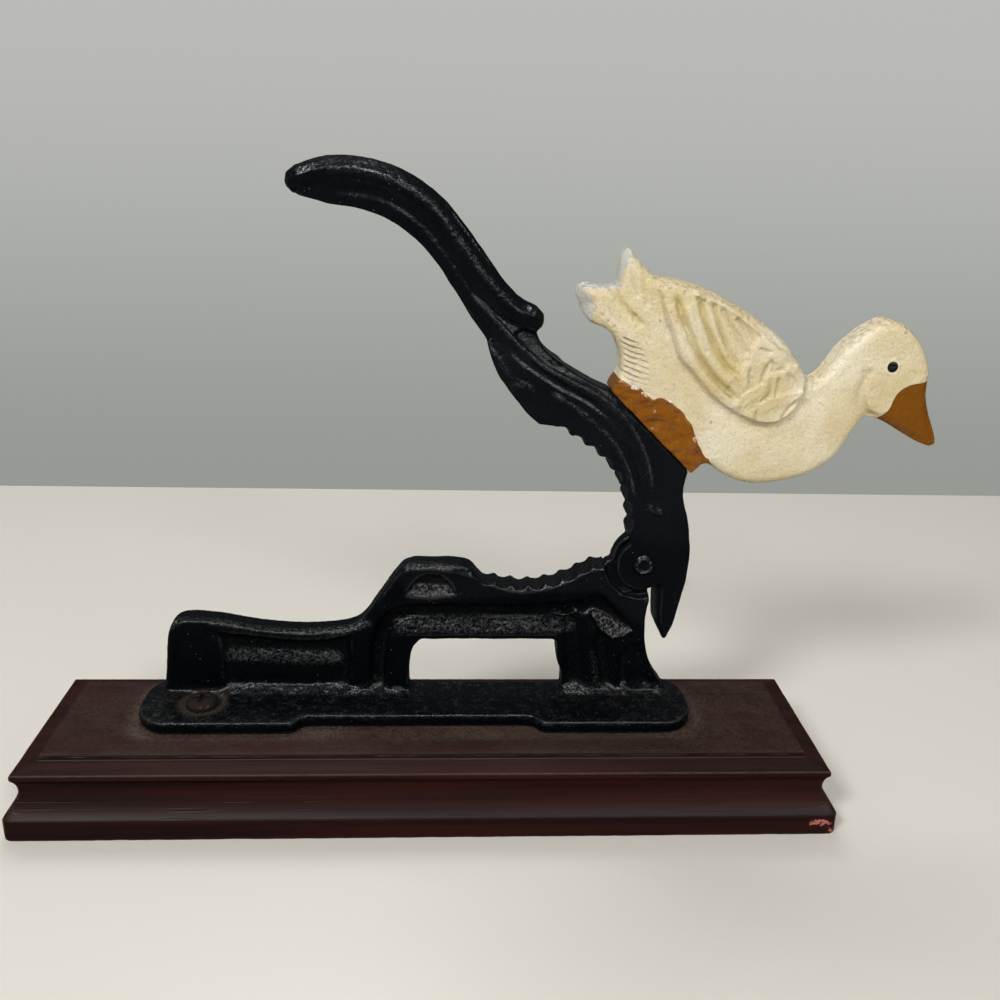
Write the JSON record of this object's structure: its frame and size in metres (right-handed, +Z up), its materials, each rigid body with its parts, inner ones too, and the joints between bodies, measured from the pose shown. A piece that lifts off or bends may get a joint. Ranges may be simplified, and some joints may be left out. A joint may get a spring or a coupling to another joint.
{
  "type": "lever nutcracker press",
  "caption": "Bench nutcracker: a toothed cast-iron jaw and rest screwed to a moulded wooden plinth, and a riveted lever with the upper jaw, a curved handle and a painted goose figure.",
  "frame": {"origin": "centre of the plinth's underside", "axes": "+X along the plinth towards the goose's bill, +Y away from the viewer to the wall's back, +Z up; the lever stands open as in the picture"},
  "size_m": [0.2276, 0.0508, 0.1571],
  "materials": {
    "wood": "dark reddish-brown stained wood with a worn satin varnish",
    "black_iron": "satin black paint on cast iron, worn bright at the edges",
    "goose_paint": "aged cream gloss paint with orange-brown saddle and bill",
    "rivet_steel": "blackened steel, rubbed bright on the rim",
    "screw_steel": "dull steel with brown rust"
  },
  "bodies": {
    "frame": {"plinth": "wood", "frame_casting": "black_iron", "flange_screw": "screw_steel", "foot_screw": "screw_steel"},
    "lever": {"lever_casting": "black_iron", "goose_figure": "goose_paint", "pivot_rivet": "rivet_steel"}
  },
  "joints": [
    {"name": "lever_pivot", "type": "hinge", "parent": "frame", "child": "lever", "pos_m": [0.05419, 0.0101, 0.05945], "axis": [0, 1, 0], "range_deg": [-52, 6]}
  ]
}
